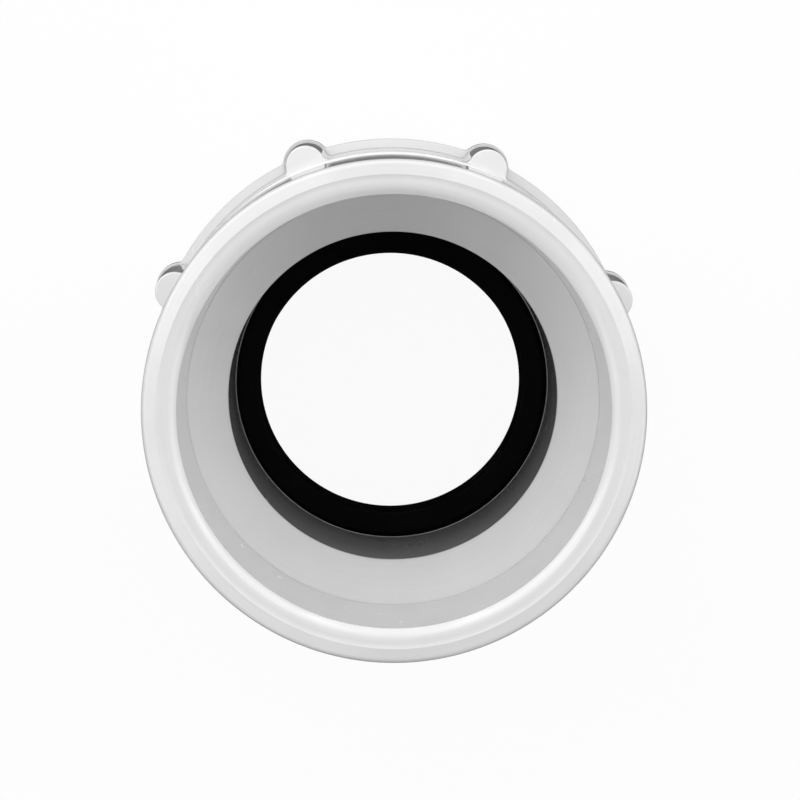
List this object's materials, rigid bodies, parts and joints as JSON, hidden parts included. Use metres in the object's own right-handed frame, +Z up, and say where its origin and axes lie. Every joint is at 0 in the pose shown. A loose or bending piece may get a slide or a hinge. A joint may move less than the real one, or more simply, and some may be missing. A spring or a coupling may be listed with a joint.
{
  "type": "pipe adapter",
  "caption": "Round drain pipe adapter with a plain socket hub at one end and a lobed screw nut over a rubber reducing washer at the other.",
  "frame": {"origin": "centre of the nut's end face, on the axis of the waterway, where the adapter stands", "axes": "+Z up along the waterway, from the nut to the mouth of the hub"},
  "size_m": [0.0606, 0.0606, 0.0518],
  "materials": {
    "body_plastic": "satin white moulded plastic",
    "nut_plastic": "satin white moulded plastic",
    "washer_rubber": "smooth black rubber"
  },
  "bodies": {
    "nut": {"slip_nut": "nut_plastic"},
    "washer": {"reducing_washer": "washer_rubber"},
    "adapter": {"adapter_body": "body_plastic"}
  },
  "joints": [
    {"name": "unscrew_turn", "type": "hinge", "parent": "nut", "child": "washer", "pos_m": [0, 0, 0], "axis": [0, 0, 1], "range_deg": [0, 1080]},
    {"name": "unscrew_lift", "type": "slide", "parent": "washer", "child": "adapter", "axis": [0, 0, 1], "range_m": [0, 0.00663]}
  ],
  "couplings": [
    {"joint": "unscrew_lift", "follows": "unscrew_turn", "m_per_rad": 0.00035152}
  ]
}
